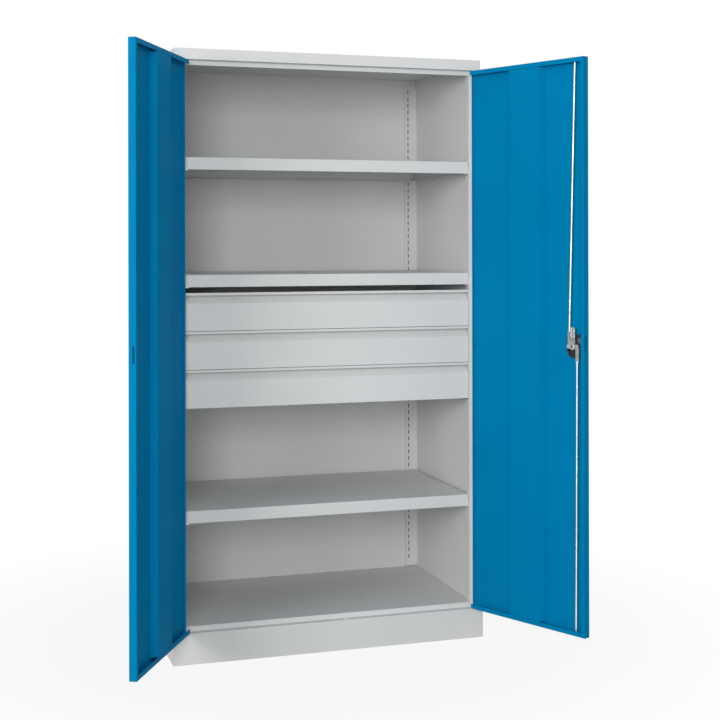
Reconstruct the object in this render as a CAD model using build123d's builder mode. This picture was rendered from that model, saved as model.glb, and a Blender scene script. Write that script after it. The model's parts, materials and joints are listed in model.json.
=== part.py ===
"""Heavy-duty storage cabinet of folded steel: two swing doors with a three-point rod lock,
three shelves and three drawers on roller runners.

Frame: millimetres, +Z up, +Y to the back, +X to the right as seen from the front. The origin is
on the floor, in the middle of the plinth. At rest the doors stand open and the drawers are in.
"""
from build123d import *
import os

os.makedirs("parts", exist_ok=True)

# Whole cabinet
HEIGHT = 1980.0
WIDTH = 1055.0
DEPTH = 600.0
BODY_SHEET = 1.5
LINING_SHEET = 1.2
BEND_RADIUS = 2.0

# Plinth and floor
PLINTH_HEIGHT = 100.0
PLINTH_OVERHANG = 6.0
PLINTH_FOLD = 30.0
FLOOR_LIFT = 16.3
FLOOR_SIDE_PLAY = 0.5

# Door rebate: the posts, the plinth ledge and the roof ledge step back by this depth
REBATE = 25.0
POST_FACE = 22.0
POST_LEDGE = 9.0
RETURN_DEPTH = 28.0
LINING_GAP = 12.0

# Roof
ROOF_FOLD = 35.0
HEADER_DROP = 15.5
HEADER_RETURN = 12.0

# Slots in the post returns and the rear rails
SLOT_PITCH = 25.0
SLOT_HEIGHT = 15.0
SLOT_WIDTH = 3.6
RAIL_WIDTH = 46.0
RAIL_STAND_OFF = 8.5
RAIL_SLOT_INSET = 12.0
RAIL_FLOOR_GAP = 4.0
RAIL_ROOF_GAP = 24.5

# Shelves and the clips that carry them
UPPER_SHELF_TOP = 1632.0
MIDDLE_SHELF_TOP = 1250.6
LOWER_SHELF_TOP = 487.0
SHELF_FOLD = 40.0
SHELF_SHEET = 1.2
SHELF_SIDE_GAP = 2.0
SHELF_RETURN = 12.0
SHELF_SETBACK = 1.5
CLIP_SHEET = 1.6
CLIP_LIP = 2.0
CLIP_FOOT = 15.5
CLIP_LENGTH = 24.0
CLIP_HEAD = 7.0
HOOK_HALF_HEIGHT = 3.0
HOOK_NOSE = 4.0
HOOK_PLAY = 0.5

# Screws in the side linings
SCREW_ROOF_GAP = 8.0
SCREW_BELOW_SHELF = 41.5
SCREW_OVER_DRAWERS = 2.0
SCREW_SETBACK = 395.0
SCREW_HEAD_RADIUS = 4.5
SCREW_HEAD_HEIGHT = 2.2
SCREW_SHANK_RADIUS = 2.0
SCREW_SHANK_LENGTH = 8.0

# Drawers
DRAWER_TOP = 1192.0
DRAWER_PITCH = 125.0
DRAWER_COUNT = 3
DRAWER_GAP = 1.5
DRAWER_SHEET = 1.2
FRONT_SIDE_GAP = 1.5
FRONT_DEPTH = 30.0
GRIP_LIP = 8.0
GRIP_DEPTH = 25.0
GRIP_ROOF = 12.5
GRIP_SLANT_END = 35.0
FRONT_BOTTOM_RETURN = 14.0
RUNNER_SPACE = 13.0
BOX_RAIL_GAP = 35.0
BOX_TOP_DROP = 5.5
BOX_BOTTOM_RISE = 11.0
HEM = 4.0
HEM_DROP = 7.0
BACK_FLANGE = 9.0
BEAD_DEPTH = 2.5
BEAD_HEIGHT = 9.0
BEAD_SLOPE = 3.0
BEAD_DROP = 38.0
DIVIDER_SLOT_PITCH = 30.0
DIVIDER_SLOT_HEIGHT = 9.0
DIVIDER_SLOT_WIDTH = 3.0
DIVIDER_SLOT_GAP = 2.0

# Roller runners
STROKE = 370.0
RUNNER_SHEET = 1.2
ROLLER_RADIUS = 8.0
ROLLER_WIDTH = 6.5
ROLLER_SIDE_PLAY = 1.0
AXLE_RADIUS = 2.5
AXLE_PLAY = 0.06
AXLE_HEAD_RADIUS = 4.0
AXLE_HEAD = 0.6
STOP_HEIGHT = 3.0
STOP_PLAY = 0.3
TRACK_PLAY = 0.3
TRACK_TOP_PLAY = 0.8
TRACK_WEB_PLAY = 0.4
TRACK_WEB_HEIGHT = 18.0
FLANGE_PLAY = 0.8
FRONT_ROLLER_INSET = 10.0
REAR_ROLLER_INSET = 12.0
HANGER_LENGTH = 24.0
HANGER_FLOOR_PLAY = 1.0
RUNNER_TAB_GAP = 4.0
REAR_TAB_WIDTH = 30.0

# Doors
DOOR_SHEET = 1.2
DOOR_THICKNESS = 22.7
DOOR_SETBACK = 0.5
DOOR_FLOOR_GAP = 6.0
DOOR_ROOF_GAP = 5.0
DOOR_MIDDLE_GAP = 1.5
HINGE_EDGE_DEPTH = 8.0
HINGE_CORNER_INSET = 5.0
DOOR_LIP = 15.0
DOOR_EDGE_LIP = 13.0
STIFFENER_INSET = 177.5
STIFFENER_WIDTH = 151.0
STIFFENER_SLOPE = 12.0
STIFFENER_END_GAP = 0.5
DOOR_OPEN = {"left": 118.0, "right": 114.1}

# Continuous hinges
HINGE_FORWARD = 1.6
KNUCKLE_RADIUS = 2.5
KNUCKLE_LENGTH = 60.0
KNUCKLE_PLAY = 0.4
HINGE_PIN_RADIUS = 1.4
HINGE_PIN_PLAY = 0.06
LEAF_SHEET = 1.0
LEAF_GAP = 0.4
DOOR_LEAF_WIDTH = 9.0
POST_LEAF_WIDTH = 18.0

# Three-point lock in the right door, measured from the door's free edge and outer face
LOCK_HEIGHT = 1022.0
LOCK_INSET = 53.5
HOUSING_LEFT = 28.5
HOUSING_RIGHT = 33.5
HOUSING_RISE = 29.5
HOUSING_DROP = 36.5
HOUSING_BASE = 3.3
HOUSING_DEPTH = 8.0
HOUSING_ROUND = 20.0
HOUSING_RIM = 6.5
CASE_WIDTH = 23.5
CASE_HEIGHT = 77.0
CASE_CORNER = 2.0
PANE_LEFT = 17.0
PANE_RIGHT = 31.5
PANE_LOW = 4.0
PANE_STEP = 13.5
PANE_HIGH = 28.0
PANE_DEPTH = 4.0
PANE_SINK = 0.6
SPINDLE_RADIUS = 4.5
SPINDLE_PLAY = 0.08
SPINDLE_SQUARE = 6.0
CAM_DEPTH = 12.5
CAM_SHEET = 3.0
CAM_RADIUS = 11.0
EAR_RADIUS = 7.3
TONGUE_REACH = 62.0
TONGUE_WIDTH = 20.0
TONGUE_CORNER = 3.0
RIB_START = 29.0
RIB_LENGTH = 29.0
RIB_WIDTH = 3.2
RIB_SPREAD = 5.6
RIB_HEIGHT = 1.2
RIVET_RADIUS = 4.0
RIVET_HEIGHT = 1.0
PIN_OFFSET = 16.5
STUD_RADIUS = 2.6
STUD_PLAY = 0.08
STUD_LENGTH = 3.0
ROD_RADIUS = 3.5
ROD_DEPTH = 11.0
STRAP_LENGTH = 46.0
STRAP_WIDTH = 13.0
STRAP_THICKNESS = 2.4
ROD_GUIDE_INSET = 43.5
ROD_TIP_INSET = 1.0
GUIDE_LENGTH = 20.0
GUIDE_WIDTH = 8.6
KEEPER_LENGTH = 20.0
KEEPER_WIDTH = 11.0
TONGUE_SLOT_BELOW = 13.4
TONGUE_SLOT_ABOVE = 37.8
TONGUE_SLOT_PLAY = 1.0
CAM_SCREW_RADIUS = 5.5
CAM_SCREW_HEAD = 3.2
CAM_SCREW_SHANK_RADIUS = 2.0
CAM_SCREW_SHANK = 9.0
TENON = 6.0
ROD_CHAMFER = 1.2

# Turning handle and its lock cylinder, outside on the right door
ROSE_RADIUS = 27.0
ROSE_THICKNESS = 4.0
HUB_RADIUS = 20.0
HUB_LENGTH = 9.0
HUB_GAP = 0.4
GRIP_LENGTH = 62.0
GRIP_WIDTH = 24.0
GRIP_THICKNESS = 9.0
GRIP_FILLET = 4.0
CYLINDER_RADIUS = 8.0
CYLINDER_LENGTH = 10.4
CYLINDER_PLAY = 0.08
KEYWAY_LENGTH = 8.0
KEYWAY_WIDTH = 1.6
KEYWAY_DEPTH = 6.0

# Places that follow from the sizes above
FRONT = -DEPTH / 2
BACK = DEPTH / 2
SIDE = WIDTH / 2 - BODY_SHEET
POST_INNER = SIDE - POST_FACE
OPENING = POST_INNER - POST_LEDGE
LINING = OPENING + LINING_GAP
FLOOR_TOP = PLINTH_HEIGHT + FLOOR_LIFT
ROOF_LEDGE = HEIGHT - ROOF_FOLD
ROOF_UNDERSIDE = HEIGHT - BODY_SHEET
HEADER_BOTTOM = ROOF_LEDGE - HEADER_DROP
RECESS = FRONT + REBATE
RETURN_END = RECESS + RETURN_DEPTH
RETURN_SLOT_Y = RECESS + RETURN_DEPTH / 2
REAR_WALL = BACK - BODY_SHEET
RAIL_FACE = REAR_WALL - RAIL_STAND_OFF
RAIL_INNER = LINING - RAIL_WIDTH
RAIL_SLOT_X = RAIL_INNER + RAIL_SLOT_INSET
SLOT_COUNT = int((ROOF_LEDGE - FLOOR_TOP) // SLOT_PITCH) - 1
SLOT_MIDDLE = (ROOF_LEDGE + FLOOR_TOP + SLOT_PITCH) / 2
SHELF_TOPS = (UPPER_SHELF_TOP, MIDDLE_SHELF_TOP, LOWER_SHELF_TOP)
SCREW_HEIGHTS = (HEIGHT - SCREW_ROOF_GAP, UPPER_SHELF_TOP - SCREW_BELOW_SHELF,
                 DRAWER_TOP + SCREW_OVER_DRAWERS, LOWER_SHELF_TOP - SCREW_BELOW_SHELF)

FRONT_HALF = OPENING - FRONT_SIDE_GAP
DRAWER_HEIGHT = DRAWER_PITCH - DRAWER_GAP
BOX_HALF = OPENING - RUNNER_SPACE
BOX_FRONT = RECESS + FRONT_DEPTH
BOX_BACK = RAIL_FACE - BOX_RAIL_GAP
BOX_LENGTH = BOX_BACK - BOX_FRONT
WEB_INNER = OPENING - RUNNER_SHEET
TRACK_OUTER = BOX_HALF + RUNNER_SHEET
FLANGE_INNER = TRACK_OUTER + FLANGE_PLAY
ROLLER_INNER = TRACK_OUTER + ROLLER_SIDE_PLAY
ROLLER_RISE = BOX_BOTTOM_RISE - TRACK_PLAY - ROLLER_RADIUS
FRONT_ROLLER_Y = BOX_FRONT + FRONT_ROLLER_INSET
REAR_ROLLER_Y = BOX_BACK - REAR_ROLLER_INSET

DOOR_BOTTOM = PLINTH_HEIGHT + DOOR_FLOOR_GAP
DOOR_TOP = ROOF_LEDGE - DOOR_ROOF_GAP
DOOR_EDGE = POST_INNER - 2 * LEAF_SHEET - LEAF_GAP
HINGE_X = (POST_INNER + DOOR_EDGE) / 2
HINGE_Y = FRONT - HINGE_FORWARD
KNUCKLE_COUNT = 2 * int((DOOR_TOP - DOOR_BOTTOM) // (2 * KNUCKLE_LENGTH)) + 1
KEEPER_X = DOOR_MIDDLE_GAP + ROD_GUIDE_INSET
KEEPER_Y = FRONT + DOOR_SETBACK + ROD_DEPTH

# The same places seen from a door: distances from its hinge axis towards the free edge, and inward
NEAR = HINGE_X - DOOR_EDGE
FAR = HINGE_X - DOOR_MIDDLE_GAP
FACE = HINGE_FORWARD + DOOR_SETBACK
RIM = FACE + DOOR_THICKNESS
LOCK = FAR - LOCK_INSET
GUIDE = FAR - ROD_GUIDE_INSET
ROD_LINE = FACE + ROD_DEPTH
CAM_FACE = FACE + CAM_DEPTH

SIGNS = {"left": -1, "right": 1}


def save(piece, name):
    """Name a finished piece and write it."""
    piece.part.label = name
    export_step(piece.part, f"parts/{name}.step")


def block(x_limits, y_limits, z_limits, plane=Plane.XY, mode=Mode.ADD):
    """A straight-sided block between two limits on each axis of the plane."""
    x_low, x_high = sorted(x_limits)
    y_low, y_high = sorted(y_limits)
    z_low, z_high = sorted(z_limits)
    with BuildSketch(plane.offset(z_low)) as section:
        with Locations(((x_low + x_high) / 2, (y_low + y_high) / 2)):
            Rectangle(x_high - x_low, y_high - y_low)
    extrude(section.sketch, amount=z_high - z_low, mode=mode)


def bar(radius, centre, y_limits, plane=Plane.XY, mode=Mode.ADD):
    """A round bar along the plane's Y axis, round a centre (x, z)."""
    base = plane * Plane(origin=(centre[0], min(y_limits), centre[1]), x_dir=(1, 0, 0), z_dir=(0, 1, 0))
    with BuildSketch(base) as section:
        Circle(radius)
    extrude(section.sketch, amount=abs(y_limits[1] - y_limits[0]), mode=mode)


def cross_bar(radius, centre, x_limits, mode=Mode.ADD):
    """A round bar along X, round a centre (y, z)."""
    with BuildSketch(Plane.YZ.offset(min(x_limits))) as section:
        with Locations(centre):
            Circle(radius)
    extrude(section.sketch, amount=abs(x_limits[1] - x_limits[0]), mode=mode)


def slot_heights():
    """Middle heights of the slots in every post return and rear rail."""
    first = SLOT_MIDDLE - SLOT_PITCH * (SLOT_COUNT - 1) / 2
    return [first + SLOT_PITCH * index for index in range(SLOT_COUNT)]


def slot_near(height):
    """The slot whose middle is nearest to a height."""
    return min(slot_heights(), key=lambda slot: abs(slot - height))


def door_plane(side):
    """The frame of an open door: X along the door, Y inward, Z up, origin on the hinge axis."""
    sign = SIGNS[side]
    return Plane(origin=(sign * HINGE_X, HINGE_Y, 0)).rotated((0, 0, sign * DOOR_OPEN[side]))


# Plinth: a ring of sheet, folded inward at the floor and under the carcass, with two rod keepers
PLINTH_HALF = WIDTH / 2 + PLINTH_OVERHANG
with BuildPart() as plinth:
    block((-PLINTH_HALF, PLINTH_HALF), (FRONT, BACK), (0, PLINTH_HEIGHT))
    block((-PLINTH_HALF + BODY_SHEET, PLINTH_HALF - BODY_SHEET),
          (FRONT + BODY_SHEET, BACK - BODY_SHEET),
          (BODY_SHEET, PLINTH_HEIGHT - BODY_SHEET), mode=Mode.SUBTRACT)
    block((-PLINTH_HALF + PLINTH_FOLD, PLINTH_HALF - PLINTH_FOLD),
          (FRONT + PLINTH_FOLD, BACK - PLINTH_FOLD), (0, PLINTH_HEIGHT), mode=Mode.SUBTRACT)
    with BuildSketch(Plane.XY.offset(PLINTH_HEIGHT - BODY_SHEET)):
        with Locations((KEEPER_X, KEEPER_Y)):
            SlotOverall(KEEPER_LENGTH, KEEPER_WIDTH)
    extrude(amount=BODY_SHEET, mode=Mode.SUBTRACT)
save(plinth, "plinth")

# Floor: a tray turned upside down on the plinth, narrower between the post returns
FLOOR_HALF = OPENING - FLOOR_SIDE_PLAY
with BuildPart() as floor_panel:
    block((-FLOOR_HALF, FLOOR_HALF), (RECESS, REAR_WALL), (PLINTH_HEIGHT, FLOOR_TOP))
    block((-LINING + FLOOR_SIDE_PLAY, LINING - FLOOR_SIDE_PLAY),
          (RETURN_END + FLOOR_SIDE_PLAY, REAR_WALL), (PLINTH_HEIGHT, FLOOR_TOP))
    block((-FLOOR_HALF + BODY_SHEET, FLOOR_HALF - BODY_SHEET),
          (RECESS + BODY_SHEET, REAR_WALL - BODY_SHEET),
          (PLINTH_HEIGHT, FLOOR_TOP - BODY_SHEET), mode=Mode.SUBTRACT)
save(floor_panel, "floor_panel")

# Side panels: outer skin, front post, ledge behind the door and slotted return, one folded sheet
for side, sign in SIGNS.items():
    with BuildPart() as side_panel:
        block((sign * (SIDE - BODY_SHEET), sign * SIDE), (FRONT + BODY_SHEET, REAR_WALL),
              (PLINTH_HEIGHT, ROOF_UNDERSIDE))
        block((sign * (LINING + LINING_SHEET), sign * SIDE), (REAR_WALL - BODY_SHEET, REAR_WALL),
              (PLINTH_HEIGHT, ROOF_UNDERSIDE))
        block((sign * POST_INNER, sign * SIDE), (FRONT, FRONT + BODY_SHEET),
              (PLINTH_HEIGHT, ROOF_LEDGE))
        block((sign * POST_INNER, sign * (POST_INNER + BODY_SHEET)), (FRONT, RECESS + BODY_SHEET),
              (PLINTH_HEIGHT, ROOF_LEDGE))
        block((sign * OPENING, sign * (POST_INNER + BODY_SHEET)), (RECESS, RECESS + BODY_SHEET),
              (PLINTH_HEIGHT, ROOF_LEDGE))
        block((sign * OPENING, sign * (OPENING + BODY_SHEET)), (RECESS, RETURN_END),
              (PLINTH_HEIGHT, ROOF_LEDGE))
        block((sign * OPENING, sign * (LINING + LINING_SHEET)), (RETURN_END - BODY_SHEET, RETURN_END),
              (PLINTH_HEIGHT, ROOF_LEDGE))
        post_corner = (side_panel.edges().filter_by(Axis.Z)
                       .filter_by_position(Axis.Y, FRONT, FRONT)
                       .filter_by_position(Axis.X, sign * POST_INNER, sign * POST_INNER))
        fillet(post_corner, BEND_RADIUS)
        with BuildSketch(Plane.YZ.offset(min(sign * OPENING, sign * (OPENING + BODY_SHEET)))):
            with Locations([(RETURN_SLOT_Y, height) for height in slot_heights()]):
                Rectangle(SLOT_WIDTH, SLOT_HEIGHT)
        extrude(amount=BODY_SHEET, mode=Mode.SUBTRACT)
    save(side_panel, f"side_panel_{side}")

    with BuildPart() as side_lining:
        block((sign * LINING, sign * (LINING + LINING_SHEET)),
              (RETURN_END, REAR_WALL - BODY_SHEET), (PLINTH_HEIGHT, ROOF_UNDERSIDE))
        for height in SCREW_HEIGHTS:
            cross_bar(SCREW_SHANK_RADIUS, (FRONT + SCREW_SETBACK, height),
                      (sign * LINING, sign * (LINING + LINING_SHEET)), mode=Mode.SUBTRACT)
    save(side_lining, f"side_lining_{side}")

    with BuildPart() as rear_rail:
        rail_heights = (FLOOR_TOP + RAIL_FLOOR_GAP, ROOF_UNDERSIDE - RAIL_ROOF_GAP)
        block((sign * RAIL_INNER, sign * LINING), (RAIL_FACE, REAR_WALL), rail_heights)
        block((sign * (RAIL_INNER + BODY_SHEET), sign * (LINING - BODY_SHEET)),
              (RAIL_FACE + BODY_SHEET, REAR_WALL), rail_heights, mode=Mode.SUBTRACT)
        with BuildSketch(Plane.XZ.offset(-RAIL_FACE - BODY_SHEET)):
            with Locations([(sign * RAIL_SLOT_X, height) for height in slot_heights()]):
                Rectangle(SLOT_WIDTH, SLOT_HEIGHT)
        extrude(amount=BODY_SHEET, mode=Mode.SUBTRACT)
    save(rear_rail, f"rear_rail_{side}")

# Back sheet
with BuildPart() as rear_panel:
    block((-SIDE, SIDE), (REAR_WALL, BACK), (PLINTH_HEIGHT, ROOF_UNDERSIDE))
save(rear_panel, "rear_panel")

# Roof: top sheet, folds at the front and the sides, ledge over the doors and header behind them
with BuildPart() as roof:
    block((-WIDTH / 2, WIDTH / 2), (FRONT, BACK), (ROOF_UNDERSIDE, HEIGHT))
    block((-WIDTH / 2, WIDTH / 2), (FRONT, FRONT + BODY_SHEET), (ROOF_LEDGE, HEIGHT))
    for sign in SIGNS.values():
        block((sign * SIDE, sign * WIDTH / 2), (FRONT, BACK), (ROOF_LEDGE, HEIGHT))
    block((-SIDE + BODY_SHEET, SIDE - BODY_SHEET), (FRONT, RECESS + BODY_SHEET),
          (ROOF_LEDGE, ROOF_LEDGE + BODY_SHEET))
    block((-OPENING, OPENING), (RECESS, RECESS + BODY_SHEET), (HEADER_BOTTOM, ROOF_LEDGE))
    block((-OPENING, OPENING), (RECESS, RECESS + HEADER_RETURN),
          (HEADER_BOTTOM, HEADER_BOTTOM + BODY_SHEET))
    with BuildSketch(Plane.XY.offset(ROOF_LEDGE)):
        with Locations((KEEPER_X, KEEPER_Y)):
            SlotOverall(KEEPER_LENGTH, KEEPER_WIDTH)
    extrude(amount=BODY_SHEET, mode=Mode.SUBTRACT)
save(roof, "roof")

# Shelves: trays turned upside down, with a return round the lower edge
SHELF_HALF = OPENING - SHELF_SIDE_GAP
SHELF_FRONT = RECESS + SHELF_SETBACK
SHELF_BACK = RAIL_FACE - SHELF_SIDE_GAP
for number, top in enumerate(SHELF_TOPS, start=1):
    with BuildPart() as shelf:
        block((-SHELF_HALF, SHELF_HALF), (SHELF_FRONT, SHELF_BACK), (top - SHELF_FOLD, top))
        block((-SHELF_HALF + SHELF_SHEET, SHELF_HALF - SHELF_SHEET),
              (SHELF_FRONT + SHELF_SHEET, SHELF_BACK - SHELF_SHEET),
              (top - SHELF_FOLD + SHELF_SHEET, top - SHELF_SHEET), mode=Mode.SUBTRACT)
        block((-SHELF_HALF + SHELF_RETURN, SHELF_HALF - SHELF_RETURN),
              (SHELF_FRONT + SHELF_RETURN, SHELF_BACK - SHELF_RETURN),
              (top - SHELF_FOLD, top - SHELF_SHEET), mode=Mode.SUBTRACT)
        front_edges = shelf.edges().filter_by(Axis.X).filter_by_position(Axis.Y, SHELF_FRONT, SHELF_FRONT)
        fillet(front_edges, SHELF_SHEET)
    save(shelf, f"shelf_{number}")

# Shelf clips: a leg with a hook through its slot, and a foot under the shelf with a lip
with BuildPart() as shelf_clips:
    for top in SHELF_TOPS:
        seat = top - SHELF_FOLD
        hook = slot_near(seat + SLOT_HEIGHT)
        leg = (seat - CLIP_SHEET, hook + CLIP_HEAD)
        foot = (seat - CLIP_SHEET, seat)
        lip = (seat - CLIP_SHEET - CLIP_LIP, seat)
        tongue = (hook - HOOK_HALF_HEIGHT, hook + HOOK_HALF_HEIGHT)
        nose = (hook - HOOK_HALF_HEIGHT - HOOK_NOSE, hook + HOOK_HALF_HEIGHT)
        hook_half = SLOT_WIDTH / 2 - HOOK_PLAY
        behind = BODY_SHEET + HOOK_PLAY
        for sign in SIGNS.values():
            along = (RETURN_SLOT_Y - CLIP_LENGTH / 2, RETURN_SLOT_Y + CLIP_LENGTH / 2)
            hook_along = (RETURN_SLOT_Y - hook_half, RETURN_SLOT_Y + hook_half)
            block((sign * (OPENING - CLIP_SHEET), sign * OPENING), along, leg)
            block((sign * (OPENING - CLIP_FOOT), sign * OPENING), along, foot)
            block((sign * (OPENING - CLIP_FOOT), sign * (OPENING - CLIP_FOOT + CLIP_SHEET)), along, lip)
            block((sign * OPENING, sign * (OPENING + behind + CLIP_SHEET)), hook_along, tongue)
            block((sign * (OPENING + behind), sign * (OPENING + behind + CLIP_SHEET)), hook_along, nose)
            across = (sign * (RAIL_SLOT_X - CLIP_LENGTH / 2 + CLIP_SHEET),
                      sign * (RAIL_SLOT_X + CLIP_LENGTH / 2))
            hook_across = (sign * (RAIL_SLOT_X - hook_half), sign * (RAIL_SLOT_X + hook_half))
            block(across, (RAIL_FACE - CLIP_SHEET, RAIL_FACE), leg)
            block(across, (RAIL_FACE - CLIP_FOOT, RAIL_FACE), foot)
            block(across, (RAIL_FACE - CLIP_FOOT, RAIL_FACE - CLIP_FOOT + CLIP_SHEET), lip)
            block(hook_across, (RAIL_FACE, RAIL_FACE + behind + CLIP_SHEET), tongue)
            block(hook_across, (RAIL_FACE + behind, RAIL_FACE + behind + CLIP_SHEET), nose)
save(shelf_clips, "shelf_clips")

# Screws in the side linings, with domed heads
with BuildPart() as lining_screws:
    for sign in SIGNS.values():
        for height in SCREW_HEIGHTS:
            at = (FRONT + SCREW_SETBACK, height)
            cross_bar(SCREW_SHANK_RADIUS, at, (sign * LINING, sign * (LINING + SCREW_SHANK_LENGTH)))
            cross_bar(SCREW_HEAD_RADIUS, at, (sign * LINING, sign * (LINING - SCREW_HEAD_HEIGHT)))
        head_rims = (lining_screws.edges().filter_by(GeomType.CIRCLE)
                     .filter_by_position(Axis.X, sign * (LINING - SCREW_HEAD_HEIGHT),
                                         sign * (LINING - SCREW_HEAD_HEIGHT)))
        fillet(head_rims, SCREW_HEAD_HEIGHT / 2)
save(lining_screws, "lining_screws")


def drawer_front(top):
    """The hollow front: a lip, a grip groove behind it, a slant and a flat face."""
    bottom = top - DRAWER_HEIGHT
    outline = [(RECESS, bottom), (RECESS, top - GRIP_SLANT_END), (RECESS + GRIP_DEPTH, top - GRIP_ROOF),
               (RECESS, top - GRIP_LIP), (RECESS, top), (BOX_FRONT, top), (BOX_FRONT, bottom)]
    with BuildPart() as front:
        with BuildSketch(Plane.YZ.offset(-FRONT_HALF)):
            with BuildLine():
                Polyline(*outline, close=True)
            make_face()
        extrude(amount=2 * FRONT_HALF)
        with BuildSketch(Plane.YZ.offset(-FRONT_HALF + DRAWER_SHEET)):
            with BuildLine():
                Polyline(*outline, close=True)
            make_face()
            offset(amount=-DRAWER_SHEET, kind=Kind.INTERSECTION, mode=Mode.REPLACE)
        extrude(amount=2 * (FRONT_HALF - DRAWER_SHEET), mode=Mode.SUBTRACT)
        block((-FRONT_HALF + DRAWER_SHEET, FRONT_HALF - DRAWER_SHEET),
              (RECESS + FRONT_BOTTOM_RETURN, BOX_FRONT - DRAWER_SHEET),
              (bottom, bottom + DRAWER_SHEET), mode=Mode.SUBTRACT)
    return front


def drawer_box(top):
    """Bottom, sides and back; each side has a hem, a bead and a row of divider slots."""
    low = top - DRAWER_HEIGHT + BOX_BOTTOM_RISE
    high = top - BOX_TOP_DROP
    bead_top = high - BEAD_DROP
    bead_bottom = bead_top - 2 * BEAD_SLOPE - BEAD_HEIGHT
    wall = BOX_HALF - DRAWER_SHEET

    def bead(face):
        return [(face, bead_bottom), (face - BEAD_DEPTH, bead_bottom + BEAD_SLOPE),
                (face - BEAD_DEPTH, bead_top - BEAD_SLOPE), (face, bead_top)]

    half = [(BOX_HALF, low), *bead(BOX_HALF), (BOX_HALF, high), (BOX_HALF - HEM, high),
            (BOX_HALF - HEM, high - HEM_DROP), (BOX_HALF - HEM + DRAWER_SHEET, high - HEM_DROP),
            (BOX_HALF - HEM + DRAWER_SHEET, high - DRAWER_SHEET), (wall, high - DRAWER_SHEET),
            *reversed(bead(wall)), (wall, low + DRAWER_SHEET)]
    outline = half + [(-x, z) for x, z in reversed(half)]
    slots = int((BOX_LENGTH - DIVIDER_SLOT_PITCH) // DIVIDER_SLOT_PITCH)
    slot_middle = bead_bottom - DIVIDER_SLOT_GAP - DIVIDER_SLOT_HEIGHT / 2
    with BuildPart() as box:
        with BuildSketch(Plane.XZ.offset(-BOX_BACK)):
            with BuildLine():
                Polyline(*outline, close=True)
            make_face()
        extrude(amount=BOX_LENGTH)
        block((-wall, wall), (BOX_BACK - DRAWER_SHEET, BOX_BACK), (low, high))
        block((-BOX_HALF + HEM, BOX_HALF - HEM), (BOX_BACK - BACK_FLANGE, BOX_BACK),
              (high - DRAWER_SHEET, high))
        with BuildSketch(Plane.YZ.offset(-BOX_HALF)):
            with Locations(((BOX_FRONT + BOX_BACK) / 2, slot_middle)):
                with GridLocations(DIVIDER_SLOT_PITCH, DIVIDER_SLOT_HEIGHT, slots, 1):
                    Rectangle(DIVIDER_SLOT_WIDTH, DIVIDER_SLOT_HEIGHT)
        extrude(amount=2 * BOX_HALF, mode=Mode.SUBTRACT)
    return box


def drawer_tracks(bottom):
    """The drawer's runner members: a track over the front roller and a hanger for the rear one."""
    level = bottom + BOX_BOTTOM_RISE
    axle = bottom + ROLLER_RISE
    with BuildPart() as tracks:
        for sign in SIGNS.values():
            block((sign * BOX_HALF, sign * (WEB_INNER - TRACK_WEB_PLAY)), (BOX_FRONT, BOX_BACK),
                  (level, level + RUNNER_SHEET))
            block((sign * BOX_HALF, sign * TRACK_OUTER), (BOX_FRONT, BOX_BACK),
                  (level, level + TRACK_WEB_HEIGHT))
            block((sign * BOX_HALF, sign * TRACK_OUTER), (BOX_BACK - HANGER_LENGTH, BOX_BACK),
                  (axle - ROLLER_RADIUS + HANGER_FLOOR_PLAY, level))
            at = (REAR_ROLLER_Y, axle)
            cross_bar(AXLE_RADIUS, at, (sign * TRACK_OUTER, sign * (ROLLER_INNER + ROLLER_WIDTH + AXLE_HEAD)))
            cross_bar(AXLE_HEAD_RADIUS, at, (sign * (ROLLER_INNER + ROLLER_WIDTH + AXLE_PLAY),
                                             sign * (ROLLER_INNER + ROLLER_WIDTH + AXLE_HEAD)))
    return tracks


def drawer_runners(bottom):
    """The cabinet's runner members: a channel hung between the slotted return and the rear rail.

    A tab bent up from its floor stops the drawer's rear roller at the end of the stroke.
    """
    level = bottom + BOX_BOTTOM_RISE
    axle = bottom + ROLLER_RISE
    floor = axle - ROLLER_RADIUS - TRACK_PLAY
    roof_level = level + RUNNER_SHEET + TRACK_TOP_PLAY
    heights = (floor - RUNNER_SHEET, roof_level + RUNNER_SHEET)
    with BuildPart() as runners:
        for sign in SIGNS.values():
            block((sign * WEB_INNER, sign * OPENING), (RECESS + RUNNER_TAB_GAP, RAIL_FACE), heights)
            block((sign * FLANGE_INNER, sign * OPENING), (BOX_FRONT, RAIL_FACE),
                  (floor - RUNNER_SHEET, floor))
            block((sign * FLANGE_INNER, sign * OPENING), (FRONT_ROLLER_Y + ROLLER_RADIUS, RAIL_FACE),
                  (roof_level, roof_level + RUNNER_SHEET))
            block((sign * (OPENING - REAR_TAB_WIDTH), sign * OPENING), (RAIL_FACE - RUNNER_SHEET, RAIL_FACE),
                  heights)
            stop = REAR_ROLLER_Y - STROKE - ROLLER_RADIUS - STOP_PLAY
            block((sign * FLANGE_INNER, sign * OPENING), (stop - RUNNER_SHEET, stop),
                  (floor - RUNNER_SHEET, floor + STOP_HEIGHT))
            at = (FRONT_ROLLER_Y, axle)
            cross_bar(AXLE_RADIUS, at, (sign * (ROLLER_INNER - AXLE_HEAD), sign * WEB_INNER))
            cross_bar(AXLE_HEAD_RADIUS, at, (sign * (ROLLER_INNER - AXLE_HEAD),
                                             sign * (ROLLER_INNER - AXLE_PLAY)))
    return runners


def rollers(y, bottom):
    """A pair of rollers on one line, left and right."""
    at = (y, bottom + ROLLER_RISE)
    with BuildPart() as pair:
        for sign in SIGNS.values():
            limits = (sign * ROLLER_INNER, sign * (ROLLER_INNER + ROLLER_WIDTH))
            cross_bar(ROLLER_RADIUS, at, limits)
            cross_bar(AXLE_RADIUS + AXLE_PLAY, at, limits, mode=Mode.SUBTRACT)
    return pair


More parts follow.
